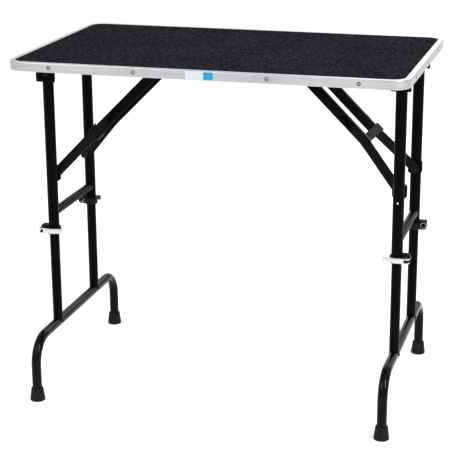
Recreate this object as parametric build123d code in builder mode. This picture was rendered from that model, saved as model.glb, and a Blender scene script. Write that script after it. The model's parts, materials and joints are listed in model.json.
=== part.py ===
"""Folding grooming table: a rubber-topped board on two telescoping, braced leg frames.

Millimetres, +Z up, the floor at z = 0 and the origin under the middle of the top.
+X is the right-hand end of the top, -Y its front edge. Both leg frames are planar and
stand upright; the left one hangs from deeper brackets so that it folds below the right one.
"""

import os
from math import cos, radians, sin

from build123d import *

os.makedirs("parts", exist_ok=True)

# ---- driving dimensions -------------------------------------------------
TOP_LENGTH = 914.0
TOP_WIDTH = 558.0
TOP_HEIGHT = 824.0
CORNER_RADIUS = 40.0

TRIM_HEIGHT = 21.0
TRIM_WALL = 1.2
TRIM_LIP = 12.0
TRIM_EDGE_RADIUS = 2.0
BOARD_THICKNESS = 16.0

TRIM_SCREW_HEAD = 7.6
TRIM_SCREW_SHANK = 3.5
TRIM_SCREW_LENGTH = 14.0
SCREW_DOME = 1.8
SCREW_TAPER = 25
CROSS_SLOT = (4.2, 0.9, 1.2)
LONG_EDGE_SCREWS = (-351.0, -151.0, 151.0, 351.0)
SHORT_EDGE_SCREWS = (-172.0, 0.0, 172.0)
LABEL_SIZE = (63.0, 17.0, 0.25)
LABEL_CORNER = 1.5
MAT_GROOVE = 0.3

LEG_X = 418.5
LEG_Y = 124.0
HINGE_HEIGHT = {"left": 770.0, "right": 787.0}
CROSSBAR_HEIGHT = {"left": 429.0, "right": 423.0}

UPPER_TUBE_OD = 26.2
UPPER_TUBE_ID = 23.8
LOWER_TUBE_OD = 23.3
LOWER_TUBE_ID = 20.1
LOWER_TUBE_TOP = 630.0
CROSSBAR_OD = 21.0
CROSSBAR_ID = 18.0

FOOT_Y = 268.5
FOOT_BAR_HEIGHT = 148.0
FOOT_BAR_BEND = 60.0
FOOT_HEIGHT = 32.0
FOOT_RADIUS = 17.65
FOOT_NECK_RADIUS = 14.7
FOOT_FLOOR = 6.0
FOOT_CHAMFER = 1.0
FOOT_BAND = 5.0
FOOT_LIP = (1.2, 2.0)
BAR_RIVET = 8.0
BAR_RIVET_HEIGHT = 2.4
BAR_RIVET_SUNK = 0.4

BRACKET_LENGTH = 47.0
BRACKET_WIDTH = 58.0
BRACKET_SHEET = 2.4
BRACKET_BASE = {"left": 751.5, "right": 772.0}
BRACKET_CORNER = 3.0
PLATE_CORNER = 5.0
HINGE_SCREW_GRID = (34.0, 45.0)
INNER_EAR_WIDTH = 23.0
EAR_GAP = 27.4
HINGE_PIN = 8.0
HINGE_PIN_HEAD = 13.0
HINGE_PIN_HEAD_HEIGHT = 2.0
RUNNING_FIT = 0.1
TUBE_END_SWING = 14.0
MOUNT_SCREW_HEAD = 8.5
MOUNT_SCREW_SHANK = 4.0
MOUNT_SCREW_LENGTH = 14.0
MOUNT_SCREW_TAPER = 20

LINK_WIDTH = 23.0
STRUT_REACH = 243.0
LUG_DROP = 252.0
STRUT_ANGLE = 44.9
STRUT_TIP = 11.5
STRUT_SHEET = 1.5
STRUT_DEPTH = 9.5
STRUT_Y = 52.0
ELBOW_DISTANCE = 217.0
LINK_THICKNESS = 3.0
LINK_ELBOW_Y = 63.5
LINK_LUG_Y = 103.4
LINK_ANGLE = 132.1
LINK_LENGTH = 133.2
LINK_CRANK_START = 15.0
LINK_CRANK_END = 126.2
LINK_TAIL = 39.0
TAIL_WIDTH = 18.0
ELBOW_PIN = 6.0
ELBOW_PIN_HEAD = 9.6
ELBOW_SLOT = 6.8
ELBOW_DISC = 16.8
TAIL_RIVET = 9.0
RIVET_HEIGHT = 1.8
RIVET_TAPER = 20
TRACK_STEPS = 10
FOLD_LIMIT = 80
STRUT_TURN = 0.391
LINK_TURN = 0.608
BRACE_EAR = 2.5
BRACE_EAR_GAP = 0.5
BRACE_EAR_RADIUS = 12.0
BRACE_PLATE = (60.0, 30.0)
BRACE_PLATE_Y = 57.0
BRACE_SCREW_SPACING = 46.0
BRACE_PIN_HEAD = 12.0
BRACE_PIN_TAIL = 13.0
BRACE_PIN_END = 2.5
PIN_HEAD_GAP = 0.4

LUG_SIZE = (34.0, 32.0)
LUG_CORNER = 7.0
LUG_RISE = 4.0
LUG_DEPTH = 10.0
LUG_BORE_DEPTH = 3.5
LUG_GAP = 0.8
LUG_PIN_HEAD = 13.0
LUG_PIN_FLARE = -8

CLAMP_HEIGHT = {
    "left_front": 387.5,
    "left_rear": 393.5,
    "right_front": 384.5,
    "right_rear": 391.5,
}
COLLAR_LAP = 5.5
COLLAR_RADIUS = 17.0
COLLAR_BELOW = 10.5
COLLAR_ABOVE = 6.5
CLAMP_EAR_ABOVE = 11.5
CLAMP_EAR_REACH = 31.0
CLAMP_EAR_HALF = 8.0
CLAMP_EAR_CORNER = 5.0
SLIDE_GAP = 0.3
CLAMP_SLIT = 3.0
CLAMP_BOLT = 6.0
CLAMP_BOLT_REACH = 24.0
CLAMP_NUT = 6.0
LEVER_BARREL = 11.0
LEVER_BARREL_OFFSET = 17.0
LEVER_BARREL_PROUD = 0.5
LEVER_HEIGHT = 12.0
LEVER_EYE = 8.0
LEVER_BAND = 2.6
LEVER_RADIUS = 22.4
LEVER_BOW = ((4.0, 22.0), (-12.5, 18.6))
LEVER_TIP_Y = 17.5
LEVER_REACH = {"front": 28.0, "rear": 20.0}

LOCK_LENGTH = 22.0
LOCK_HEIGHT = {"left": 34.0, "right": 41.0}
LOCK_SHEET = 3.0
LOCK_WALL = 2.5
LOCK_LIP = (4.5, 1.2)
LOCK_TAB = 5.0

# ---- derived levels -----------------------------------------------------
TRIM_BASE = TOP_HEIGHT - TRIM_HEIGHT
BOARD_BASE = TRIM_BASE + TRIM_WALL
MAT_BASE = BOARD_BASE + BOARD_THICKNESS
MAT_TOP = TOP_HEIGHT - TRIM_WALL
TRIM_MIDDLE = TRIM_BASE + TRIM_HEIGHT / 2
UPPER_RADIUS = UPPER_TUBE_OD / 2
LOWER_RADIUS = LOWER_TUBE_OD / 2
STRUT_FACE = STRUT_Y + STRUT_DEPTH
WALL_GAP = 0.5
CUT = 40.0
SIDES = {"left": -1, "right": 1}
ENDS = {"front": -1, "rear": 1}
CORNERS = [(side, sx, end, sy) for side, sx in SIDES.items() for end, sy in ENDS.items()]


def save(part, label):
    """Label a finished piece and write its STEP file."""
    part.label = label
    export_step(part, f"parts/{label}.step")


def strut_pivot(side, sx):
    """Where the upper brace link turns, under the board."""
    return sx * (LEG_X - STRUT_REACH), HINGE_HEIGHT[side]


def lug_pivot(side, sx):
    """Where the lower brace link turns, on the leg."""
    return sx * LEG_X, HINGE_HEIGHT[side] - LUG_DROP


def strut_frame(side, sx, sy, out):
    """Plane of an upper link: x along it from the board, z outwards in Y, at distance out."""
    x, z = strut_pivot(side, sx)
    a = radians(STRUT_ANGLE)
    return Plane((x, sy * out, z), x_dir=(sx * cos(a), 0, -sin(a)), z_dir=(0, sy, 0))


def link_frame(side, sx, sy, out):
    """Plane of a lower link: x along it from the leg, z outwards in Y, at distance out."""
    x, z = lug_pivot(side, sx)
    a = radians(LINK_ANGLE)
    return Plane((x, sy * out, z), x_dir=(sx * cos(a), 0, sin(a)), z_dir=(0, sy, 0))


def across(x, y, z, sy):
    """Upright plane at a point, facing along Y on the side sy; its own y points up."""
    return Plane((x, y, z), x_dir=(-sy, 0, 0), z_dir=(0, sy, 0))


# ---- the top ------------------------------------------------------------
def mount_screw_sites():
    """Screw positions under the board: four per hinge bracket, two per brace bracket."""
    sites = []
    for side, sx, end, sy in CORNERS:
        across_x, across_y = (spacing / 2 for spacing in HINGE_SCREW_GRID)
        sites += [
            (sx * LEG_X + dx, sy * LEG_Y + dy)
            for dx in (-across_x, across_x)
            for dy in (-across_y, across_y)
        ]
        x, _ = strut_pivot(side, sx)
        sites += [(x + way * BRACE_SCREW_SPACING / 2, sy * BRACE_PLATE_Y) for way in (-1, 1)]
    return sites


def trim_screw_planes():
    """Planes of the trim screws, each facing out of the edge that it holds."""
    planes = []
    for sy in ENDS.values():
        for x in LONG_EDGE_SCREWS:
            at = (x, sy * TOP_WIDTH / 2, TRIM_MIDDLE)
            planes.append(Plane(at, x_dir=(1, 0, 0), z_dir=(0, sy, 0)))
    for sx in SIDES.values():
        for y in SHORT_EDGE_SCREWS:
            at = (sx * TOP_LENGTH / 2, y, TRIM_MIDDLE)
            planes.append(Plane(at, x_dir=(0, 1, 0), z_dir=(sx, 0, 0)))
    return planes


def rounded_slab(inset, base, height):
    """The top's outline, inset on every side, as a slab."""
    size = (TOP_LENGTH - 2 * inset, TOP_WIDTH - 2 * inset)
    with BuildPart() as slab:
        with BuildSketch(Plane.XY.offset(base)):
            RectangleRounded(*size, CORNER_RADIUS - inset)
        extrude(amount=height)
    return slab.part


with BuildPart() as table_board:
    add(rounded_slab(TRIM_WALL, BOARD_BASE, BOARD_THICKNESS))
    with BuildSketch(Plane.XY.offset(BOARD_BASE)):
        with Locations(*mount_screw_sites()):
            Circle(MOUNT_SCREW_SHANK / 2)
    extrude(amount=MOUNT_SCREW_LENGTH - BRACKET_SHEET, mode=Mode.SUBTRACT)
    for plane in trim_screw_planes():
        with BuildSketch(plane):
            Circle(TRIM_SCREW_SHANK / 2)
        extrude(amount=-TRIM_SCREW_LENGTH, mode=Mode.SUBTRACT)
save(table_board.part, "table_board")

with BuildPart() as rubber_mat:
    add(rounded_slab(TRIM_WALL, MAT_BASE, MAT_TOP - MAT_BASE))
    add(rounded_slab(TRIM_LIP + MAT_GROOVE, MAT_TOP, TRIM_WALL))
save(rubber_mat.part, "rubber_mat")

with BuildPart() as edge_trim:
    add(rounded_slab(0, TRIM_BASE, TRIM_HEIGHT))
    rim_loops = edge_trim.faces().filter_by(Axis.Z).edges()
    fillet(rim_loops, TRIM_EDGE_RADIUS)
    add(rounded_slab(TRIM_WALL, BOARD_BASE, MAT_TOP - BOARD_BASE), mode=Mode.SUBTRACT)
    add(rounded_slab(TRIM_LIP, TRIM_BASE, TRIM_HEIGHT), mode=Mode.SUBTRACT)
    for plane in trim_screw_planes():
        with BuildSketch(plane):
            Circle(TRIM_SCREW_SHANK / 2)
        extrude(amount=-2 * TRIM_WALL, mode=Mode.SUBTRACT)
save(edge_trim.part, "edge_trim")

with BuildPart() as trim_screws:
    slot_length, slot_width, slot_depth = CROSS_SLOT
    for plane in trim_screw_planes():
        with BuildSketch(plane):
            Circle(TRIM_SCREW_HEAD / 2)
        extrude(amount=SCREW_DOME, taper=SCREW_TAPER)
        with BuildSketch(plane):
            Circle(TRIM_SCREW_SHANK / 2)
        extrude(amount=-TRIM_SCREW_LENGTH)
        with BuildSketch(plane.offset(SCREW_DOME)):
            Rectangle(slot_length, slot_width)
            Rectangle(slot_width, slot_length)
        extrude(amount=-slot_depth, mode=Mode.SUBTRACT)
save(trim_screws.part, "trim_screws")

with BuildPart() as blank_label:
    with BuildSketch(Plane((0, -TOP_WIDTH / 2, TRIM_MIDDLE), x_dir=(1, 0, 0), z_dir=(0, -1, 0))):
        RectangleRounded(LABEL_SIZE[0], LABEL_SIZE[1], LABEL_CORNER)
    extrude(amount=LABEL_SIZE[2])
save(blank_label.part, "blank_label")

with BuildPart() as bracket_screws:
    with BuildSketch(Plane.XY.offset(BOARD_BASE - BRACKET_SHEET)):
        with Locations(*mount_screw_sites()):
            Circle(MOUNT_SCREW_SHANK / 2)
    extrude(amount=MOUNT_SCREW_LENGTH)
    with BuildSketch(Plane.XY.offset(BOARD_BASE - BRACKET_SHEET)):
        with Locations(*mount_screw_sites()):
            Circle(MOUNT_SCREW_HEAD / 2)
    extrude(amount=-SCREW_DOME, taper=MOUNT_SCREW_TAPER)
save(bracket_screws.part, "bracket_screws")


# ---- brackets under the board -------------------------------------------
def hinge_bracket(side, sx, sy):
    """Folded steel saddle: a screwed base, a wide outer ear and a narrow inner one."""
    x, y, pin = sx * LEG_X, sy * LEG_Y, HINGE_HEIGHT[side]
    drop = BOARD_BASE - BRACKET_BASE[side]
    with BuildPart() as bracket:
        with BuildSketch(Plane((x, y, BOARD_BASE))):
            RectangleRounded(BRACKET_LENGTH, BRACKET_WIDTH, PLATE_CORNER)
        extrude(amount=-BRACKET_SHEET)
        for way, width in ((sy, BRACKET_LENGTH), (-sy, INNER_EAR_WIDTH)):
            inner = y + way * EAR_GAP / 2
            with BuildSketch(across(x, inner, BOARD_BASE - drop / 2, way)):
                Rectangle(width, drop)
            extrude(amount=BRACKET_SHEET)
        low = bracket.edges().filter_by(Axis.Y).group_by(Axis.Z)[0]
        fillet(low, BRACKET_CORNER)
        with BuildSketch(across(x, y - BRACKET_WIDTH / 2, pin, 1)):
            Circle(HINGE_PIN / 2)
        extrude(amount=BRACKET_WIDTH, mode=Mode.SUBTRACT)
        with BuildSketch(Plane((x, y, BOARD_BASE))):
            with GridLocations(*HINGE_SCREW_GRID, 2, 2):
                Circle(MOUNT_SCREW_SHANK / 2)
        extrude(amount=-BRACKET_SHEET, mode=Mode.SUBTRACT)
    return bracket.part


def brace_bracket(side, sx, sy):
    """Base plate and one ear, on the inner face of the upper link."""
    x, pin = strut_pivot(side, sx)
    ear_outer = STRUT_Y - BRACE_EAR_GAP
    with BuildPart() as bracket:
        with BuildSketch(Plane((x, sy * BRACE_PLATE_Y, BOARD_BASE))):
            RectangleRounded(*BRACE_PLATE, PLATE_CORNER)
            with GridLocations(BRACE_SCREW_SPACING, 1, 2, 1):
                Circle(MOUNT_SCREW_SHANK / 2, mode=Mode.SUBTRACT)
        extrude(amount=-BRACKET_SHEET)
        with BuildSketch(across(x, sy * ear_outer, pin, sy)):
            Circle(BRACE_EAR_RADIUS)
            with Locations((0, (BOARD_BASE - pin) / 2)):
                Rectangle(2 * BRACE_EAR_RADIUS, BOARD_BASE - pin)
        extrude(amount=-BRACE_EAR)
        with BuildSketch(across(x, sy * ear_outer, pin, sy)):
            Circle(HINGE_PIN / 2)
        extrude(amount=-BRACE_EAR, mode=Mode.SUBTRACT)
    return bracket.part


for side, sx, end, sy in CORNERS:
    save(hinge_bracket(side, sx, sy), f"{side}_{end}_hinge_bracket")
    save(brace_bracket(side, sx, sy), f"{side}_{end}_brace_bracket")

for side, sx in SIDES.items():
    reach = EAR_GAP / 2 + BRACKET_SHEET
    with BuildPart() as hinge_pins:
        for sy in ENDS.values():
            plane = across(sx * LEG_X, sy * LEG_Y, HINGE_HEIGHT[side], 1)
            with BuildSketch(plane.offset(-reach)):
                Circle(HINGE_PIN / 2)
            extrude(amount=2 * reach)
            with BuildSketch(plane.offset(reach), plane.offset(-reach - HINGE_PIN_HEAD_HEIGHT)):
                Circle(HINGE_PIN_HEAD / 2)
            extrude(amount=HINGE_PIN_HEAD_HEIGHT)
    save(hinge_pins.part, f"{side}_hinge_pins")

with BuildPart() as brace_pins:
    for side, sx, end, sy in CORNERS:
        x, z = strut_pivot(side, sx)
        ear_inner = STRUT_Y - BRACE_EAR_GAP - BRACE_EAR
        head = STRUT_FACE + PIN_HEAD_GAP
        steps = (
            (ear_inner - BRACE_PIN_END, ear_inner, BRACE_PIN_TAIL),
            (ear_inner, head, HINGE_PIN),
            (head, head + BRACE_PIN_END, BRACE_PIN_HEAD),
        )
        for start, stop, diameter in steps:
            with BuildSketch(across(x, sy * start, z, sy)):
                Circle(diameter / 2)
            extrude(amount=stop - start)
save(brace_pins.part, "brace_pins")


# ---- upper leg frames ---------------------------------------------------
def upper_tube(side, sx, end, sy):
    """Outer leg tube with a rounded, drilled top end that swings inside its bracket."""
    x, y, pin = sx * LEG_X, sy * LEG_Y, HINGE_HEIGHT[side]
    foot = CLAMP_HEIGHT[f"{side}_{end}"] - COLLAR_LAP
    with BuildPart() as tube:
        with BuildSketch(Plane((x, y, foot))):
            Circle(UPPER_RADIUS)
            Circle(UPPER_TUBE_ID / 2, mode=Mode.SUBTRACT)
        extrude(amount=pin + TUBE_END_SWING - foot)
        with BuildSketch(across(x, y - CUT / 2, pin, 1)):
            with Locations((0, CUT / 4)):
                Rectangle(CUT, CUT / 2)
            Circle(TUBE_END_SWING, mode=Mode.SUBTRACT)
        extrude(amount=CUT, mode=Mode.SUBTRACT)
        with BuildSketch(across(x, y - CUT / 2, pin, 1)):
            Circle((HINGE_PIN + RUNNING_FIT) / 2)
        extrude(amount=CUT, mode=Mode.SUBTRACT)
    return tube.part


def crossbar(side, sx):
    """Thin tube between the two upper tubes, coped to them."""
    height = CROSSBAR_HEIGHT[side]
    with BuildPart() as bar:
        with BuildSketch(across(sx * LEG_X, -LEG_Y, height, 1)):
            Circle(CROSSBAR_OD / 2)
            Circle(CROSSBAR_ID / 2, mode=Mode.SUBTRACT)
        extrude(amount=2 * LEG_Y)
        with BuildSketch(Plane((sx * LEG_X, 0, height - CUT / 2))):
            with Locations((0, -LEG_Y), (0, LEG_Y)):
                Circle(UPPER_RADIUS)
        extrude(amount=CUT, mode=Mode.SUBTRACT)
    return bar.part


def clamp_collar(side, sx, end, sy):
    """Split collar round the end of the upper tube, its ears facing out of the table's end."""
    x, y, middle = sx * LEG_X, sy * LEG_Y, CLAMP_HEIGHT[f"{side}_{end}"]
    base = middle - COLLAR_BELOW
    with BuildPart() as collar:
        with BuildSketch(Plane((x, y, base))):
            with Locations((sx * CLAMP_EAR_REACH / 2, 0)):
                Rectangle(CLAMP_EAR_REACH, 2 * CLAMP_EAR_HALF)
        extrude(amount=COLLAR_BELOW + CLAMP_EAR_ABOVE)
        ear_ends = collar.edges().filter_by(Axis.Y).sort_by(Axis.X)
        outer = ear_ends[-2:] if sx > 0 else ear_ends[:2]
        fillet(outer, CLAMP_EAR_CORNER)
        with BuildSketch(Plane((x, y, base))):
            Circle(COLLAR_RADIUS)
        extrude(amount=COLLAR_BELOW + COLLAR_ABOVE)
        with BuildSketch(Plane((x, y, base))):
            Circle(LOWER_RADIUS + SLIDE_GAP)
            with Locations((sx * CLAMP_EAR_REACH, 0)):
                Rectangle(2 * CLAMP_EAR_REACH - LOWER_TUBE_OD, CLAMP_SLIT)
        extrude(amount=COLLAR_BELOW + CLAMP_EAR_ABOVE, mode=Mode.SUBTRACT)
        with BuildSketch(Plane((x, y, middle - COLLAR_LAP))):
            Circle(UPPER_RADIUS)
        extrude(amount=COLLAR_LAP + CLAMP_EAR_ABOVE, mode=Mode.SUBTRACT)
        with BuildSketch(across(x + sx * CLAMP_BOLT_REACH, y - CUT / 2, middle, 1)):
            Circle(CLAMP_BOLT / 2)
        extrude(amount=CUT, mode=Mode.SUBTRACT)
    return collar.part


for side, sx in SIDES.items():
    for end, sy in ENDS.items():
        save(upper_tube(side, sx, end, sy), f"{side}_{end}_upper_tube")
        save(clamp_collar(side, sx, end, sy), f"{side}_{end}_clamp_collar")
    save(crossbar(side, sx), f"{side}_crossbar")

    with BuildPart() as clamp_bolts:
        for end, sy in ENDS.items():
            x = sx * (LEG_X + CLAMP_BOLT_REACH)
            middle = CLAMP_HEIGHT[f"{side}_{end}"]
            nut_face = sy * (LEG_Y - CLAMP_EAR_HALF)
            with BuildSketch(across(x, nut_face, middle, sy)):
                Circle(CLAMP_BOLT / 2)
            extrude(amount=CLAMP_EAR_HALF + LEVER_BARREL_OFFSET)
            with BuildSketch(across(x, nut_face, middle, sy)):
                RegularPolygon(CLAMP_NUT, 6)
            extrude(amount=-CLAMP_NUT)
            barrel_y = sy * (LEG_Y + LEVER_BARREL_OFFSET)
            barrel_base = middle - LEVER_HEIGHT / 2 - LEVER_BARREL_PROUD
            with BuildSketch(Plane((x, barrel_y, barrel_base))):
                Circle(LEVER_BARREL / 2)
            extrude(amount=LEVER_HEIGHT + 2 * LEVER_BARREL_PROUD)
    save(clamp_bolts.part, f"{side}_clamp_bolts")

    lug_x, lug_z = lug_pivot(side, sx)
    lug_face = LINK_LUG_Y + LINK_THICKNESS + LUG_GAP
    with BuildPart() as brace_lugs:
        for sy in ENDS.values():
            with BuildSketch(across(lug_x, sy * lug_face, lug_z, sy)):
                with Locations((0, LUG_RISE)):
                    RectangleRounded(*LUG_SIZE, LUG_CORNER)
            extrude(amount=LUG_DEPTH)
            with BuildSketch(Plane((lug_x, sy * LEG_Y, lug_z - CUT))):
                Circle(UPPER_RADIUS)
            extrude(amount=2 * CUT, mode=Mode.SUBTRACT)
            with BuildSketch(across(lug_x, sy * lug_face, lug_z, sy)):
                Circle(HINGE_PIN / 2)
            extrude(amount=LUG_BORE_DEPTH, mode=Mode.SUBTRACT)
    save(brace_lugs.part, f"{side}_brace_lugs")

    with BuildPart() as lug_pins:
        for sy in ENDS.values():
            head = LINK_LUG_Y - WALL_GAP
            with BuildSketch(across(lug_x, sy * head, lug_z, sy)):
                Circle(HINGE_PIN / 2)
            extrude(amount=lug_face + LUG_BORE_DEPTH - head)
            with BuildSketch(across(lug_x, sy * (head - BRACE_PIN_END), lug_z, sy)):
                Circle(LUG_PIN_HEAD / 2)
            extrude(amount=BRACE_PIN_END, taper=LUG_PIN_FLARE)
    save(lug_pins.part, f"{side}_lug_pins")


# ---- lower leg frames ---------------------------------------------------
def lower_tube(sx, sy):
    """Inner leg tube, coped onto the foot bar."""
    x, y = sx * LEG_X, sy * LEG_Y
    with BuildPart() as tube:
        with BuildSketch(Plane((x, y, FOOT_BAR_HEIGHT))):
            Circle(LOWER_RADIUS)
            Circle(LOWER_TUBE_ID / 2, mode=Mode.SUBTRACT)
        extrude(amount=LOWER_TUBE_TOP - FOOT_BAR_HEIGHT)
        with BuildSketch(across(x, y - CUT / 2, FOOT_BAR_HEIGHT, 1)):
            Circle(LOWER_RADIUS)
        extrude(amount=CUT, mode=Mode.SUBTRACT)
    return tube.part


def foot_bar(sx):
    """One tube bent down at both ends, so that it stands on its own two feet."""
    x = sx * LEG_X
    with BuildPart() as bar:
        with BuildLine(Plane((x, 0, 0), x_dir=(0, 1, 0), z_dir=(1, 0, 0))):
            FilletPolyline(
                (-FOOT_Y, FOOT_FLOOR),
                (-FOOT_Y, FOOT_BAR_HEIGHT),
                (FOOT_Y, FOOT_BAR_HEIGHT),
                (FOOT_Y, FOOT_FLOOR),
                radius=FOOT_BAR_BEND,
            )
        with BuildSketch(Plane((x, -FOOT_Y, FOOT_FLOOR))):
            Circle(LOWER_RADIUS)
            Circle(LOWER_TUBE_ID / 2, mode=Mode.SUBTRACT)
        sweep()
    return bar.part


def rubber_foot(sx, sy):
    """Flared rubber ferrule pushed onto the end of the foot bar."""
    lip_width, lip_height = FOOT_LIP
    with BuildPart() as foot:
        with BuildSketch(Plane((sx * LEG_X, sy * FOOT_Y, 0), x_dir=(1, 0, 0), z_dir=(0, -1, 0))):
            with BuildLine():
                Polyline(
                    (0, 0),
                    (FOOT_RADIUS - FOOT_CHAMFER, 0),
                    (FOOT_RADIUS, FOOT_CHAMFER),
                    (FOOT_RADIUS, FOOT_BAND),
                    (FOOT_NECK_RADIUS, FOOT_HEIGHT - lip_height),
                    (FOOT_NECK_RADIUS - lip_width, FOOT_HEIGHT),
                    (LOWER_RADIUS, FOOT_HEIGHT),
                    (LOWER_RADIUS, FOOT_FLOOR),
                    (0, FOOT_FLOOR),
                    close=True,
                )
            make_face()
        revolve(axis=Axis((sx * LEG_X, sy * FOOT_Y, 0), (0, 0, 1)))
    return foot.part


for side, sx in SIDES.items():
    for end, sy in ENDS.items():
        save(lower_tube(sx, sy), f"{side}_{end}_lower_tube")
        save(rubber_foot(sx, sy), f"{side}_{end}_rubber_foot")
    save(foot_bar(sx), f"{side}_foot_bar")

    with BuildPart() as bar_rivets:
        for sy in ENDS.values():
            seat = sx * (LEG_X + LOWER_RADIUS - BAR_RIVET_SUNK)
            at = (seat, sy * LEG_Y, FOOT_BAR_HEIGHT)
            with BuildSketch(Plane(at, x_dir=(0, 1, 0), z_dir=(sx, 0, 0))):
                Circle(BAR_RIVET / 2)
            extrude(amount=BAR_RIVET_HEIGHT, taper=RIVET_TAPER)
            with BuildSketch(across(sx * LEG_X, sy * LEG_Y - CUT / 2, FOOT_BAR_HEIGHT, 1)):
                Circle(LOWER_RADIUS)
            extrude(amount=CUT, mode=Mode.SUBTRACT)
            with BuildSketch(Plane((sx * LEG_X, sy * LEG_Y, FOOT_BAR_HEIGHT - CUT / 2))):
                Circle(LOWER_RADIUS)
            extrude(amount=CUT, mode=Mode.SUBTRACT)
    save(bar_rivets.part, f"{side}_bar_rivets")


# ---- clamp levers -------------------------------------------------------
def lever_point(sx, sy, out, along):
    """A point beside a leg: out from the table's end, and along Y away from its middle."""
    return sx * (LEG_X + out), sy * (LEG_Y + along)


def clamp_lever(side, sx, end, sy):
    """Cam lever bent from strap: a curled eye on the bolt's barrel, a bow round the collar, a tip."""
    eye = (CLAMP_BOLT_REACH, LEVER_BARREL_OFFSET)
    crown = LEVER_BARREL_OFFSET + LEVER_EYE - LEVER_BAND / 2
    bow_start, bow_end = LEVER_BOW
    spans = [((CLAMP_BOLT_REACH, crown), bow_start), (bow_end, (-LEVER_REACH[end], LEVER_TIP_Y))]
    middle = CLAMP_HEIGHT[f"{side}_{end}"]
    base = middle - LEVER_HEIGHT / 2
    window = CLAMP_BOLT + 0.8
    with BuildPart() as lever:
        with BuildSketch(Plane.XY.offset(base)):
            with Locations(lever_point(sx, sy, 0, 0)):
                Circle(LEVER_RADIUS + LEVER_BAND / 2)
                Circle(LEVER_RADIUS - LEVER_BAND / 2, mode=Mode.SUBTRACT)
            with BuildLine():
                Polyline(
                    lever_point(sx, sy, 0, 0),
                    lever_point(sx, sy, 3 * bow_start[0], 3 * bow_start[1]),
                    lever_point(sx, sy, 3 * bow_end[0], 3 * bow_end[1]),
                    close=True,
                )
            make_face(mode=Mode.INTERSECT)
            for start, stop in spans:
                p = Vector(*lever_point(sx, sy, *start))
                q = Vector(*lever_point(sx, sy, *stop))
                with BuildLine():
                    Line(p, q)
                trace(line_width=LEVER_BAND)
                with Locations(q):
                    Circle(LEVER_BAND / 2)
            with Locations(lever_point(sx, sy, *eye)):
                Circle(LEVER_EYE)
        extrude(amount=LEVER_HEIGHT)
        with BuildSketch(Plane.XY.offset(base)):
            with Locations(lever_point(sx, sy, *eye)):
                Circle((LEVER_BARREL + RUNNING_FIT) / 2)
        extrude(amount=LEVER_HEIGHT, mode=Mode.SUBTRACT)
        with BuildSketch(Plane.XY.offset(middle - window / 2)):
            with Locations(lever_point(sx, sy, *eye)):
                Circle(LEVER_EYE + 1)
        extrude(amount=window, mode=Mode.SUBTRACT)
    return lever.part


for side, sx, end, sy in CORNERS:
    save(clamp_lever(side, sx, end, sy), f"{side}_{end}_clamp_lever")


# ---- folding braces -----------------------------------------------------
def elbow_track(fold):
    """Elbow pin in the frame of the upper link, along it and off its middle, at a fold angle."""
    turn = radians(fold)
    strut = radians(STRUT_ANGLE - STRUT_TURN * fold)
    link = radians(LINK_ANGLE - (1 + LINK_TURN) * fold)
    dx = STRUT_REACH - LUG_DROP * sin(turn) + LINK_LENGTH * cos(link)
    dz = -LUG_DROP * cos(turn) + LINK_LENGTH * sin(link)
    return dx * cos(strut) - dz * sin(strut), dx * sin(strut) + dz * cos(strut)


def brace_strut(side, sx, sy):
    """Upper brace link: a flat box tube whose outer wall has the cam slot of the elbow pin."""
    plane = strut_frame(side, sx, sy, STRUT_FACE)
    stations = [elbow_track(FOLD_LIMIT * step / TRACK_STEPS) for step in range(TRACK_STEPS + 1)]
    track = [(along, -sx * sy * off) for along, off in stations]
    with BuildPart() as strut:
        with BuildSketch(plane):
            with Locations((0, 0), (ELBOW_DISTANCE, 0)):
                Circle(STRUT_TIP)
            with Locations((ELBOW_DISTANCE / 2, 0)):
                Rectangle(ELBOW_DISTANCE, LINK_WIDTH)
        extrude(amount=-STRUT_DEPTH)
        with BuildSketch(plane.offset(-STRUT_SHEET)):
            with Locations((ELBOW_DISTANCE / 2, 0)):
                Rectangle(2 * ELBOW_DISTANCE, LINK_WIDTH - 2 * STRUT_SHEET)
        extrude(amount=2 * STRUT_SHEET - STRUT_DEPTH, mode=Mode.SUBTRACT)
        with BuildSketch(plane):
            Circle((HINGE_PIN + RUNNING_FIT) / 2)
        extrude(amount=-STRUT_DEPTH, mode=Mode.SUBTRACT)
        with BuildSketch(plane):
            with BuildLine():
                Spline(*track)
            trace(line_width=ELBOW_SLOT)
            with Locations(track[0], track[-1]):
                Circle(ELBOW_SLOT / 2)
        extrude(amount=-2 * STRUT_SHEET, mode=Mode.SUBTRACT)
    return strut.part


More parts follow.
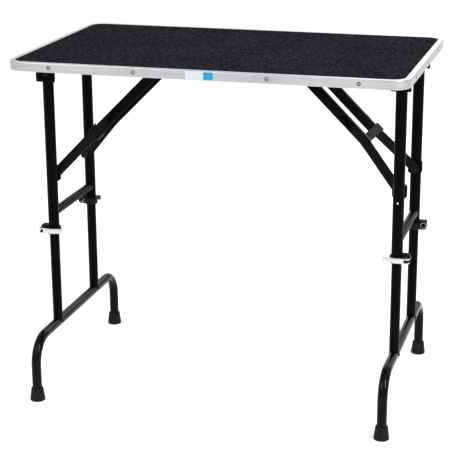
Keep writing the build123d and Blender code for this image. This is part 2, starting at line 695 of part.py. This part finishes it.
def brace_link(side, sx, sy):
    """Lower brace link: a bar cranked out to the leg, with the elbow pin and a narrow tail."""
    plane = link_frame(side, sx, sy, 0)
    tip = LINK_LENGTH + LINK_TAIL
    reach = tip + TAIL_WIDTH / 2
    profile = [
        (-LINK_WIDTH / 2, LINK_LUG_Y),
        (LINK_CRANK_START, LINK_LUG_Y),
        (LINK_CRANK_END, LINK_ELBOW_Y),
        (reach, LINK_ELBOW_Y),
    ]
    outer = [(u, w + LINK_THICKNESS) for u, w in reversed(profile)]
    side_plane = Plane(plane.origin, x_dir=plane.x_dir, z_dir=plane.x_dir.cross(plane.z_dir))
    with BuildPart() as link:
        with BuildSketch(side_plane):
            with BuildLine():
                Polyline(*profile, *outer, close=True)
            make_face()
        extrude(amount=LINK_WIDTH / 2, both=True)
        with BuildSketch(plane):
            with Locations((0, 0), (LINK_LENGTH, 0)):
                Circle(LINK_WIDTH / 2)
            with Locations((LINK_LENGTH / 2, 0)):
                Rectangle(LINK_LENGTH, LINK_WIDTH)
            with Locations((LINK_LENGTH + LINK_TAIL / 2, 0)):
                Rectangle(LINK_TAIL, TAIL_WIDTH)
            with Locations((tip, 0)):
                Circle(TAIL_WIDTH / 2)
        extrude(amount=2 * LEG_Y, mode=Mode.INTERSECT)
        with BuildSketch(plane):
            Circle((HINGE_PIN + RUNNING_FIT) / 2)
        extrude(amount=2 * LEG_Y, mode=Mode.SUBTRACT)
        pin_end = STRUT_FACE - STRUT_SHEET - WALL_GAP
        with BuildSketch(plane.offset(pin_end)):
            with Locations((LINK_LENGTH, 0)):
                Circle(ELBOW_PIN / 2)
        extrude(amount=LINK_ELBOW_Y - pin_end)
        with BuildSketch(plane.offset(pin_end)):
            with Locations((LINK_LENGTH, 0)):
                Circle(ELBOW_PIN_HEAD / 2)
        extrude(amount=-HINGE_PIN_HEAD_HEIGHT)
        for place, size in ((LINK_LENGTH, ELBOW_DISC), (tip, TAIL_RIVET)):
            with BuildSketch(plane.offset(LINK_ELBOW_Y + LINK_THICKNESS)):
                with Locations((place, 0)):
                    Circle(size / 2)
            extrude(amount=RIVET_HEIGHT, taper=RIVET_TAPER)
    return link.part


def brace_lock(side, sx, sy):
    """Sheet-steel lock slide that straddles the strut at the elbow, with two finger tabs."""
    back = STRUT_Y - WALL_GAP
    middle = ELBOW_DISTANCE
    inner = LINK_WIDTH / 2 + WALL_GAP
    wall = inner + LOCK_WALL / 2
    lip_width, lip_height = LOCK_LIP
    lip = inner + LOCK_WALL - lip_width / 2
    height = LOCK_HEIGHT[side]
    with BuildPart() as lock:
        with BuildSketch(strut_frame(side, sx, sy, back)):
            with Locations((middle, 0)):
                Rectangle(LOCK_LENGTH, height)
        extrude(amount=-LOCK_SHEET)
        with BuildSketch(strut_frame(side, sx, sy, back)):
            with Locations((middle, wall), (middle, -wall)):
                Rectangle(LOCK_LENGTH, LOCK_WALL)
        extrude(amount=STRUT_DEPTH + 2 * WALL_GAP)
        with BuildSketch(strut_frame(side, sx, sy, STRUT_FACE + WALL_GAP)):
            with Locations((middle, lip), (middle, -lip)):
                Rectangle(LOCK_LENGTH, lip_width)
        extrude(amount=lip_height)
        with BuildSketch(strut_frame(side, sx, sy, back - LOCK_SHEET)):
            tab = (height - LOCK_WALL) / 2
            with Locations((middle, tab), (middle, -tab)):
                Rectangle(LOCK_LENGTH, LOCK_WALL)
        extrude(amount=-LOCK_TAB)
    return lock.part


for side, sx, end, sy in CORNERS:
    save(brace_strut(side, sx, sy), f"{side}_{end}_brace_strut")
    save(brace_link(side, sx, sy), f"{side}_{end}_brace_link")

save(brace_lock("left", -1, -1), "left_front_brace_lock")
save(brace_lock("right", 1, 1), "right_rear_brace_lock")
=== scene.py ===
"""Looks of the folding grooming table: a rubber-topped board on two telescoping leg frames.

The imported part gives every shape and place. Sharp sheet-metal and cast pieces get eased
edges here, joints get their weld beads, and every surface gets a procedural material.
Metres, +Z up, the front edge towards -Y.
"""

import json
import math

import bmesh
import bpy
from mathutils import Matrix, Vector


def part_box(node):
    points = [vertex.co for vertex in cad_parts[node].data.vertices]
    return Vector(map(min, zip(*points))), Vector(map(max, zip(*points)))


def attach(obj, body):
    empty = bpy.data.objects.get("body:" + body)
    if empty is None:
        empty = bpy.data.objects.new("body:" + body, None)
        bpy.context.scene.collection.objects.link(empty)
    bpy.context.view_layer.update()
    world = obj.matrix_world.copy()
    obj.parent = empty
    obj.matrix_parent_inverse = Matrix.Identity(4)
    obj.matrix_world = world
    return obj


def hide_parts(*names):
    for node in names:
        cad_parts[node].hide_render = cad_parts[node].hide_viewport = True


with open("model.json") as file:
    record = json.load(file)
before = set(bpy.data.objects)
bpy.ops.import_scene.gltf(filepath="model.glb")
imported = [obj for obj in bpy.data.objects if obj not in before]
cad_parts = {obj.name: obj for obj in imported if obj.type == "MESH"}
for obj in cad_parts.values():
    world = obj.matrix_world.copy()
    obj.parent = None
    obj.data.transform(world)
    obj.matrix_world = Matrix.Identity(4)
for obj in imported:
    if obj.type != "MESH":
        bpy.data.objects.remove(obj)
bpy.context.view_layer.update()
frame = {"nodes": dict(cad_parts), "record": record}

MM = 0.001
NUT_WASHER = (6.1 * MM, 7.6 * MM, 0.7 * MM)
BARREL_PIN_RADIUS, BARREL_PIN_HEIGHT = 2.4 * MM, 0.8 * MM
BARREL_TOP = 6.5 * MM
CLAMP_EAR_HALF = 8 * MM
CLAMP_BOLT_REACH = 24 * MM
LEVER_BARREL_OFFSET = 17 * MM
STOP_RIVET_RADIUS, STOP_RIVET_HEIGHT = 2.3 * MM, 1.3 * MM
STOP_RIVET_LEVEL = 517 * MM
STOP_RIVET_SUNK = 0.3 * MM
SCREW_SHADE_RING = (3.85 * MM, 4.6 * MM, 0.2 * MM)
LONG_EDGE_SCREWS = (-351 * MM, -151 * MM, 151 * MM, 351 * MM)
SHORT_EDGE_SCREWS = (-172 * MM, 0, 172 * MM)
BEAD = 1.3 * MM
BEAD_RIPPLE = 0.16
LABEL_PANEL_START = 9.5 * MM
SIDES = {"left": -1, "right": 1}
ENDS = {"front": -1, "rear": 1}
CORNERS = [(side, sx, end, sy) for side, sx in SIDES.items() for end, sy in ENDS.items()]


def middle(node):
    """Centre of a node's box at rest."""
    low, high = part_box(node)
    return (low + high) / 2


def span(node):
    """Size of a node's box at rest."""
    low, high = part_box(node)
    return high - low


# ---- shader building ----------------------------------------------------
class Shader:
    """A material under construction: a Principled shader and short calls for its nodes."""

    def __init__(self, name, colour, roughness, metallic=0.0, specular=0.5):
        self.material = bpy.data.materials.new(name)
        self.material.use_nodes = True
        self.tree = self.material.node_tree
        self.surface = self.tree.nodes["Principled BSDF"]
        self.surface.inputs["Base Color"].default_value = (*colour, 1)
        self.surface.inputs["Roughness"].default_value = roughness
        self.surface.inputs["Metallic"].default_value = metallic
        self.surface.inputs["Specular IOR Level"].default_value = specular
        self.position = self.node("ShaderNodeTexCoord").outputs["Object"]

    def node(self, kind, **settings):
        made = self.tree.nodes.new(kind)
        for key, value in settings.items():
            setattr(made, key, value)
        return made

    def link(self, source, target):
        self.tree.links.new(source, target)

    def stretched(self, scale):
        """The surface position with each axis scaled, for grain that runs one way."""
        mapping = self.node("ShaderNodeMapping")
        mapping.inputs["Scale"].default_value = scale
        self.link(self.position, mapping.inputs["Vector"])
        return mapping.outputs["Vector"]

    def noise(self, scale, detail=4.0, roughness=0.55, vector=None, distortion=0.0):
        made = self.node("ShaderNodeTexNoise")
        made.inputs["Scale"].default_value = scale
        made.inputs["Detail"].default_value = detail
        made.inputs["Roughness"].default_value = roughness
        made.inputs["Distortion"].default_value = distortion
        self.link(vector or self.position, made.inputs["Vector"])
        return made.outputs["Fac"]

    def cells(self, scale):
        made = self.node("ShaderNodeTexVoronoi", feature="SMOOTH_F1")
        made.inputs["Scale"].default_value = scale
        self.link(self.position, made.inputs["Vector"])
        return made.outputs["Distance"]

    def remap(self, value, low, high, to_low, to_high):
        made = self.node("ShaderNodeMapRange")
        self.link(value, made.inputs["Value"])
        for name, number in (
            ("From Min", low),
            ("From Max", high),
            ("To Min", to_low),
            ("To Max", to_high),
        ):
            made.inputs[name].default_value = number
        return made.outputs["Result"]

    def combine(self, operation, first, second):
        made = self.node("ShaderNodeMath", operation=operation)
        for socket, value in zip(made.inputs, (first, second)):
            if isinstance(value, (int, float)):
                socket.default_value = value
            else:
                self.link(value, socket)
        return made.outputs["Value"]

    def mix(self, first, second, share):
        """The first value with a share of the second."""
        main = self.combine("MULTIPLY", first, 1 - share)
        return self.combine("ADD", main, self.combine("MULTIPLY", second, share))

    def ramp(self, value, *stops):
        """Colour by value; each stop is (position, colour)."""
        made = self.node("ShaderNodeValToRGB")
        elements = made.color_ramp.elements
        while len(elements) < len(stops):
            elements.new(0.5)
        for element, (position, colour) in zip(elements, stops):
            element.position = position
            element.color = (*colour, 1)
        self.link(value, made.inputs["Fac"])
        return made.outputs["Color"]

    def colour(self, source):
        self.link(source, self.surface.inputs["Base Color"])

    def roughness(self, source):
        self.link(source, self.surface.inputs["Roughness"])

    def bump(self, height, distance, strength=1.0):
        """Relief of the given height range, in metres; later calls add to earlier ones."""
        made = self.node("ShaderNodeBump")
        made.inputs["Distance"].default_value = distance
        made.inputs["Strength"].default_value = strength
        self.link(height, made.inputs["Height"])
        normal = self.surface.inputs["Normal"]
        if normal.is_linked:
            self.link(normal.links[0].from_socket, made.inputs["Normal"])
        self.link(made.outputs["Normal"], normal)


def powder_coat(name, colour, roughness=(0.2, 0.32), specular=0.03, peel=1.0):
    """Black baked powder: orange peel of strength peel, faint dust, and scuffs that dull it."""
    shader = Shader(name, colour, roughness[0], specular=specular)
    cloud = shader.noise(14.0, detail=5.0)
    shader.roughness(shader.remap(cloud, 0.3, 0.75, *roughness))
    dust = shader.noise(60.0, detail=8.0, roughness=0.7)
    lighter = tuple(c + 0.0015 for c in colour)
    shader.colour(shader.ramp(dust, (0.42, colour), (0.78, lighter)))
    shader.bump(shader.noise(650.0, detail=2.0), 0.00005, 0.7 * peel)
    shader.bump(shader.noise(45.0, detail=2.0), 0.00008, 0.4 * peel)
    return shader.material


def slid_tube(name, colour):
    """Black coat of the inner legs, polished and faintly scored along the tube by the slide."""
    shader = Shader(name, colour, 0.25, specular=0.03)
    scores = shader.noise(1.0, detail=3.0, vector=shader.stretched((520, 520, 5)))
    shader.roughness(shader.remap(scores, 0.35, 0.7, 0.17, 0.36))
    worn = tuple(c + 0.004 for c in colour)
    shader.colour(shader.ramp(scores, (0.5, colour), (0.75, worn)))
    shader.bump(scores, 0.00004, 0.6)
    shader.bump(shader.noise(650.0, detail=2.0), 0.00004, 0.5)
    return shader.material


def pebbled_rubber(name):
    """Charcoal matting: close pebble grain and a fibrous, faintly violet-blue mottle."""
    shader = Shader(name, (0.012, 0.012, 0.0155), 0.85, specular=0.003)
    pebble = shader.cells(430.0)
    fibre = shader.noise(190.0, detail=6.0, roughness=0.75, distortion=1.6)
    bloom = shader.noise(7.0, detail=3.0)
    mottle = shader.mix(fibre, bloom, 0.05)
    shader.colour(
        shader.ramp(
            mottle,
            (0.43, (0.0006, 0.0006, 0.001)),
            (0.5, (0.0036, 0.0034, 0.0052)),
            (0.58, (0.036, 0.035, 0.043)),
        )
    )
    shader.roughness(shader.remap(fibre, 0.3, 0.7, 0.75, 0.95))
    shader.bump(pebble, 0.0006, 0.8)
    shader.bump(fibre, 0.0003, 0.6)
    return shader.material


def drawn_aluminium(name):
    """Extruded edge trim: satin anodised metal with die lines along its length."""
    shader = Shader(name, (0.45, 0.46, 0.47), 0.33, metallic=1.0)
    lines = shader.noise(1.0, detail=4.0, vector=shader.stretched((6, 6, 1300)))
    haze = shader.noise(9.0, detail=4.0)
    blend = shader.mix(lines, haze, 0.4)
    shader.roughness(shader.remap(blend, 0.35, 0.65, 0.28, 0.44))
    shader.colour(
        shader.ramp(blend, (0.38, (0.40, 0.41, 0.425)), (0.62, (0.49, 0.50, 0.51)))
    )
    shader.bump(lines, 0.00003, 0.5)
    return shader.material


def cast_metal(name, colour, roughness):
    """Bare metal with a fine even grain, small pits and handling marks."""
    shader = Shader(name, colour, roughness, metallic=1.0)
    marks = shader.noise(90.0, detail=6.0, roughness=0.65)
    shader.roughness(shader.remap(marks, 0.3, 0.7, roughness - 0.07, roughness + 0.1))
    darker = tuple(0.8 * c for c in colour)
    shader.colour(shader.ramp(marks, (0.3, darker), (0.6, colour)))
    shader.bump(shader.noise(500.0, detail=3.0), 0.00005, 0.6)
    return shader.material


def nickel_screw(name):
    """Nickel plate on the screws, with painted shade in the low drive recesses of the trim
    screws.
    """
    shader = Shader(name, (0.42, 0.39, 0.37), 0.24, metallic=1.0)
    parts = shader.node("ShaderNodeSeparateXYZ")
    shader.link(shader.position, parts.inputs["Vector"])
    beyond = []
    for axis, half in (("X", span("edge_trim").x / 2), ("Y", span("edge_trim").y / 2)):
        distance = shader.combine("ABSOLUTE", parts.outputs[axis], 0)
        beyond.append(shader.combine("SUBTRACT", distance, half))
    height = shader.combine("MAXIMUM", *beyond)
    marks = shader.combine("MULTIPLY", shader.noise(900.0, detail=4.0), 0.0006)
    level = shader.combine("ADD", height, marks)
    # Painted shade: where a trim screw head stands less than about 1 mm proud of the trim, in
    # its drive recess, the nickel turns near black.
    shader.colour(
        shader.ramp(
            shader.remap(level, 0.0009, 0.0017, 0.0, 1.0),
            (0.1, (0.045, 0.042, 0.04)),
            (0.5, (0.42, 0.39, 0.37)),
        )
    )
    shader.roughness(shader.remap(shader.noise(90.0, detail=6.0), 0.3, 0.7, 0.17, 0.34))
    shader.bump(shader.noise(300.0, detail=3.0), 0.00005, 0.6)
    return shader.material


def moulded(name, colour, roughness, lift):
    """Matte moulded plastic, rubber or dull coat; dust makes high spots lighter by lift."""
    shader = Shader(name, colour, roughness, specular=0.1)
    dust = shader.noise(40.0, detail=7.0, roughness=0.7)
    lighter = tuple(c + lift for c in colour)
    shader.colour(shader.ramp(dust, (0.42, colour), (0.85, lighter)))
    shader.roughness(shader.remap(dust, 0.3, 0.7, roughness - 0.08, roughness + 0.12))
    shader.bump(shader.noise(700.0, detail=2.0), 0.00008, 0.7)
    return shader.material


def plywood(name):
    """Sealed plywood underside: long grain along X with darker growth rings."""
    shader = Shader(name, (0.45, 0.33, 0.2), 0.5)
    rings = shader.noise(1.0, detail=5.0, vector=shader.stretched((1.6, 26, 60)), distortion=0.6)
    fibres = shader.noise(1.0, detail=3.0, vector=shader.stretched((12, 700, 700)))
    shader.colour(
        shader.ramp(
            rings,
            (0.36, (0.50, 0.36, 0.215)),
            (0.5, (0.42, 0.29, 0.165)),
            (0.58, (0.53, 0.385, 0.235)),
            (0.68, (0.36, 0.24, 0.13)),
        )
    )
    shader.roughness(shader.remap(fibres, 0.3, 0.7, 0.42, 0.62))
    shader.bump(fibres, 0.00012, 0.5)
    return shader.material


def blank_sticker(name):
    """Glossy white vinyl with a plain pale-blue panel at its right-hand end."""
    shader = Shader(name, (0.82, 0.84, 0.86), 0.22)
    across = shader.node("ShaderNodeSeparateXYZ")
    shader.link(shader.position, across.inputs["Vector"])
    panel = shader.combine("GREATER_THAN", across.outputs["X"], LABEL_PANEL_START)
    shader.colour(shader.ramp(panel, (0.4, (0.42, 0.46, 0.49)), (0.6, (0.0, 0.2, 0.36))))
    haze = shader.noise(120.0, detail=4.0)
    shader.roughness(shader.remap(haze, 0.3, 0.7, 0.16, 0.3))
    shader.bump(shader.noise(240.0, detail=2.0), 0.00002, 0.5)
    return shader.material


MATERIALS = {
    "board": plywood("plywood"),
    "mat_rubber": pebbled_rubber("mat_rubber"),
    "trim_aluminium": drawn_aluminium("trim_aluminium"),
    "screw_steel": nickel_screw("screw_nickel"),
    "pin_black": powder_coat("pin_black", (0.0016, 0.0016, 0.0018), specular=0.12),
    "label_white": blank_sticker("label_vinyl"),
    "frame_black": powder_coat("frame_black", (0.0004, 0.0004, 0.0005)),
    "collar_black": moulded("collar_black", (0.0015, 0.0015, 0.0017), 0.45, 0.003),
    "lever_silver": cast_metal("lever_silver", (0.6, 0.6, 0.595), 0.27),
    "foot_rubber": moulded("foot_rubber", (0.004, 0.004, 0.0043), 0.62, 0.008),
    "lock_grey": moulded("lock_grey", (0.024, 0.025, 0.03), 0.42, 0.012),
}
# Painted reflection: the braces carry the frame's black powder coat made lighter and bluer,
# standing for the bright surroundings their flat faces reflect.
BRACE_BLACK_PAINTED_SHEEN = powder_coat("brace_black_painted_sheen", (0.0052, 0.0052, 0.0068))
FOOT_BAR_BLACK = powder_coat("foot_bar_black", (0.0003, 0.0003, 0.0004), (0.08, 0.14), 0.1, 0.15)
FINISHES = {
    "lower_tube": slid_tube("inner_tube_black", (0.0005, 0.0005, 0.0006)),
    "brace_strut": BRACE_BLACK_PAINTED_SHEEN,
    "brace_link": BRACE_BLACK_PAINTED_SHEEN,
    "left_front_brace_lock": BRACE_BLACK_PAINTED_SHEEN,
    "foot_bar": FOOT_BAR_BLACK,
}

SLOTS = {row["node"]: row["material_slot"] for row in frame["record"]["subparts"]}


def finish_of(node):
    """A node's material: its slot's, or the special one of its kind of part."""
    for kind, material in FINISHES.items():
        if node.endswith(kind):
            return material
    return MATERIALS[SLOTS[node]]


for node, solid in frame["nodes"].items():
    solid.data.materials.clear()
    solid.data.materials.append(finish_of(node))


# ---- eased edges --------------------------------------------------------
BODIES = frame["record"]["behaviour"]["bodies"]
BODY = {node: body for body, nodes in BODIES.items() for node in nodes}
EASED_PER_CORNER = {
    "hinge_bracket": 0.7 * MM,
    "brace_bracket": 0.6 * MM,
    "clamp_collar": 0.7 * MM,
    "clamp_lever": 0.6 * MM,
    "brace_strut": 0.35 * MM,
    "brace_link": 0.4 * MM,
}
EASED_PER_SIDE = {"brace_lugs": 0.8 * MM, "clamp_bolts": 0.4 * MM}
EASED_LOCK = 0.5 * MM


def eased(node, radius):
    """A copy of a sharp CAD node with small rounded edges, shown in the node's place."""
    source = frame["nodes"][node]
    mesh = bmesh.new()
    mesh.from_mesh(source.data)
    bmesh.ops.remove_doubles(mesh, verts=mesh.verts, dist=2e-6)
    bmesh.ops.dissolve_limit(
        mesh, angle_limit=math.radians(0.5), verts=mesh.verts, edges=mesh.edges
    )
    piece = bpy.data.objects.new(node + "_eased", bpy.data.meshes.new(node + "_eased"))
    mesh.to_mesh(piece.data)
    mesh.free()
    piece.data.materials.clear()
    piece.data.materials.append(finish_of(node))
    bpy.context.scene.collection.objects.link(piece)
    piece.data.shade_smooth()
    bevel = piece.modifiers.new("edges", "BEVEL")
    bevel.width = radius
    bevel.segments = 2
    bevel.limit_method = "ANGLE"
    bevel.angle_limit = math.radians(35)
    bevel.harden_normals = True
    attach(piece, BODY[node])
    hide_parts(node)


for side, _, end, _ in CORNERS:
    for kind, radius in EASED_PER_CORNER.items():
        eased(f"{side}_{end}_{kind}", radius)
for side in SIDES:
    for kind, radius in EASED_PER_SIDE.items():
        eased(f"{side}_{kind}", radius)
for node in frame["nodes"]:
    if node.endswith("brace_lock"):
        eased(node, EASED_LOCK)


# ---- weld beads ---------------------------------------------------------
def bead(name, points, thickness, body):
    """A closed weld bead along a seam, with the ripple that a hand-laid weld has."""
    curve = bpy.data.curves.new(name, "CURVE")
    curve.dimensions = "3D"
    curve.bevel_depth = thickness
    curve.bevel_resolution = 3
    line = curve.splines.new("POLY")
    line.points.add(len(points) - 1)
    for index, (target, point) in enumerate(zip(line.points, points)):
        target.co = (*point, 1)
        target.radius = 1 + BEAD_RIPPLE * math.sin(index * math.pi / 2)
    line.use_cyclic_u = True
    seam = bpy.data.objects.new(name, curve)
    bpy.context.scene.collection.objects.link(seam)
    curve.materials.append(MATERIALS["frame_black"])
    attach(seam, body)


def saddle(centre, axis, thin_radius, thick_radius, steps=72):
    """Seam where a thin tube along axis meets a thick upright or level tube at centre.

    centre is on the thick tube's axis; axis is the thin tube's unit direction, and the
    thick tube runs along the third direction.
    """
    out, side_way, run = axis
    points = []
    for step in range(steps):
        turn = 2 * math.pi * step / steps
        lateral = thin_radius * math.sin(turn)
        along_run = thin_radius * math.cos(turn)
        reach = math.sqrt(max(thick_radius**2 - lateral**2, 0))
        points.append(centre + out * reach + side_way * lateral + run * along_run)
    return points


X, Y, Z = Vector((1, 0, 0)), Vector((0, 1, 0)), Vector((0, 0, 1))
for side, sx, end, sy in CORNERS:
    upper = middle(f"{side}_{end}_upper_tube")
    upper_radius = span(f"{side}_{end}_upper_tube").x / 2
    bar = middle(f"{side}_crossbar")
    at = Vector((upper.x, upper.y, bar.z))
    bar_radius = span(f"{side}_crossbar").x / 2
    seam = saddle(at, (Y * -sy, X, Z), bar_radius, upper_radius)
    bead(f"{side}_{end}_crossbar_weld", seam, BEAD, f"{side}_upper_leg")

    lower = middle(f"{side}_{end}_lower_tube")
    lower_radius = span(f"{side}_{end}_lower_tube").x / 2
    foot_bar_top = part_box(f"{side}_foot_bar")[1].z
    at = Vector((lower.x, lower.y, foot_bar_top - lower_radius))
    seam = saddle(at, (Z, X, Y), lower_radius, lower_radius)
    bead(f"{side}_{end}_foot_bar_weld", seam, BEAD, f"{side}_lower_leg")


# ---- small hardware -----------------------------------------------------
def ring(name, centre, normal, inner, outer, height, slot, body, steps=40):
    """A chamfered ring that stands on centre along normal; an inner radius of 0 makes a disc."""
    turn = normal.to_track_quat("Z", "Y").to_matrix().to_4x4()
    place = Matrix.Translation(centre) @ turn
    mesh = bmesh.new()
    chamfer = min(0.25 * height, 0.2 * (outer - inner))
    section = [(outer, 0), (outer, height - chamfer), (outer - chamfer, height)]
    if inner:
        section += [(inner + chamfer, height), (inner, height - chamfer), (inner, 0)]
    loops = []
    for step in range(steps):
        angle = 2 * math.pi * step / steps
        cos, sin = math.cos(angle), math.sin(angle)
        loops.append([mesh.verts.new(place @ Vector((r * cos, r * sin, z))) for r, z in section])
    rows = len(section) if inner else len(section) - 1
    for step in range(steps):
        here, there = loops[step], loops[(step + 1) % steps]
        for row in range(rows):
            other = (row + 1) % len(section)
            mesh.faces.new((here[row], there[row], there[other], here[other]))
    if not inner:
        mesh.faces.new([loop[-1] for loop in loops])
        mesh.faces.new([loop[0] for loop in reversed(loops)])
    bmesh.ops.recalc_face_normals(mesh, faces=mesh.faces)
    piece = bpy.data.objects.new(name, bpy.data.meshes.new(name))
    mesh.to_mesh(piece.data)
    mesh.free()
    bpy.context.scene.collection.objects.link(piece)
    piece.data.materials.append(MATERIALS[slot])
    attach(piece, body)


for side, sx, end, sy in CORNERS:
    body = f"{side}_upper_leg"
    lever_low, lever_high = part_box(f"{side}_{end}_clamp_lever")
    leg = middle(f"{side}_{end}_lower_tube")
    level = (lever_low.z + lever_high.z) / 2
    bolt_x = leg.x + sx * CLAMP_BOLT_REACH
    washer = Vector((bolt_x, leg.y - sy * CLAMP_EAR_HALF, level))
    ring(f"{side}_{end}_nut_washer", washer, Y * -sy, *NUT_WASHER, "lever_silver", body)
    barrel = Vector((bolt_x, leg.y + sy * LEVER_BARREL_OFFSET, level + BARREL_TOP))
    size = (0, BARREL_PIN_RADIUS, BARREL_PIN_HEIGHT)
    ring(f"{side}_{end}_barrel_pin", barrel, Z, *size, "lever_silver", body)

for end, sy in ENDS.items():
    tube = middle(f"right_{end}_upper_tube")
    face = span(f"right_{end}_upper_tube").y / 2 - STOP_RIVET_SUNK
    stop = Vector((tube.x, tube.y + sy * face, STOP_RIVET_LEVEL))
    size = (0, STOP_RIVET_RADIUS, STOP_RIVET_HEIGHT)
    ring(f"right_{end}_stop_rivet", stop, Y * sy, *size, "lever_silver", "right_upper_leg")

# Painted shade: a thin black ring at the foot of each trim screw head stands for the shadow gap
# around the head.
trim_half = span("edge_trim") / 2
trim_level = middle("edge_trim").z
screw_shade_rings = []
for x in LONG_EDGE_SCREWS:
    screw_shade_rings += [(Vector((x, way * trim_half.y, trim_level)), Y * way) for way in (-1, 1)]
for y in SHORT_EDGE_SCREWS:
    screw_shade_rings += [(Vector((way * trim_half.x, y, trim_level)), X * way) for way in (-1, 1)]
for number, (centre, normal) in enumerate(screw_shade_rings):
    ring(f"screw_shade_ring_{number}", centre, normal, *SCREW_SHADE_RING, "pin_black", "tabletop")


# ---- floor, light and camera --------------------------------------------
bpy.ops.mesh.primitive_plane_add(size=40, location=(0, 0, 0))
floor = bpy.context.object
floor.name = "studio_floor"
paper = Shader("studio_paper", (0.94, 0.94, 0.94), 0.9)
paper.roughness(paper.remap(paper.noise(30.0), 0.3, 0.7, 0.85, 0.95))
floor.data.materials.append(paper.material)

world = bpy.data.worlds.new("studio")
bpy.context.scene.world = world
world.use_nodes = True
world.node_tree.nodes["Background"].inputs["Color"].default_value = (1, 1, 1, 1)
world.node_tree.nodes["Background"].inputs["Strength"].default_value = 1.07
bpy.context.scene.view_settings.view_transform = "Standard"


def softbox(name, place, aim, width, height, watts):
    """A rectangular area light at place that faces aim."""
    lamp = bpy.data.lights.new(name, "AREA")
    lamp.shape = "RECTANGLE"
    lamp.size = width
    lamp.size_y = height
    lamp.energy = watts
    holder = bpy.data.objects.new(name, lamp)
    holder.location = place
    holder.rotation_mode = "QUATERNION"
    holder.rotation_quaternion = (Vector(aim) - Vector(place)).to_track_quat("-Z", "Y")
    bpy.context.scene.collection.objects.link(holder)


softbox("key", (-1.6, -2.6, 2.6), (0, 0, 0.4), 1.6, 1.6, 40)
softbox("strip", (2.4, -1.5, 2.3), (0, 0, 0.3), 0.12, 1.9, 80)
softbox("back", (0.4, 2.8, 2.4), (0, 0, 0.5), 1.8, 1.8, 20)

CAMERA_PLACE = Vector((0.9168, -3.2615, 1.4343))
HEADING, PITCH, ROLL = (math.radians(a) for a in (-15.881, 17.283, -0.302))
LENS = 114.33
forward = Vector(
    (math.sin(HEADING) * math.cos(PITCH), math.cos(HEADING) * math.cos(PITCH), -math.sin(PITCH))
)
level = forward.cross(Z).normalized()
upright = level.cross(forward)
right = level * math.cos(ROLL) + upright * math.sin(ROLL)
up = upright * math.cos(ROLL) - level * math.sin(ROLL)
camera_data = bpy.data.cameras.new("camera")
camera_data.lens = LENS
camera_data.sensor_width = 36
camera = bpy.data.objects.new("camera", camera_data)
facing = Matrix((right, up, -forward)).transposed().to_4x4()
camera.matrix_world = Matrix.Translation(CAMERA_PLACE) @ facing
bpy.context.scene.collection.objects.link(camera)
bpy.context.scene.camera = camera
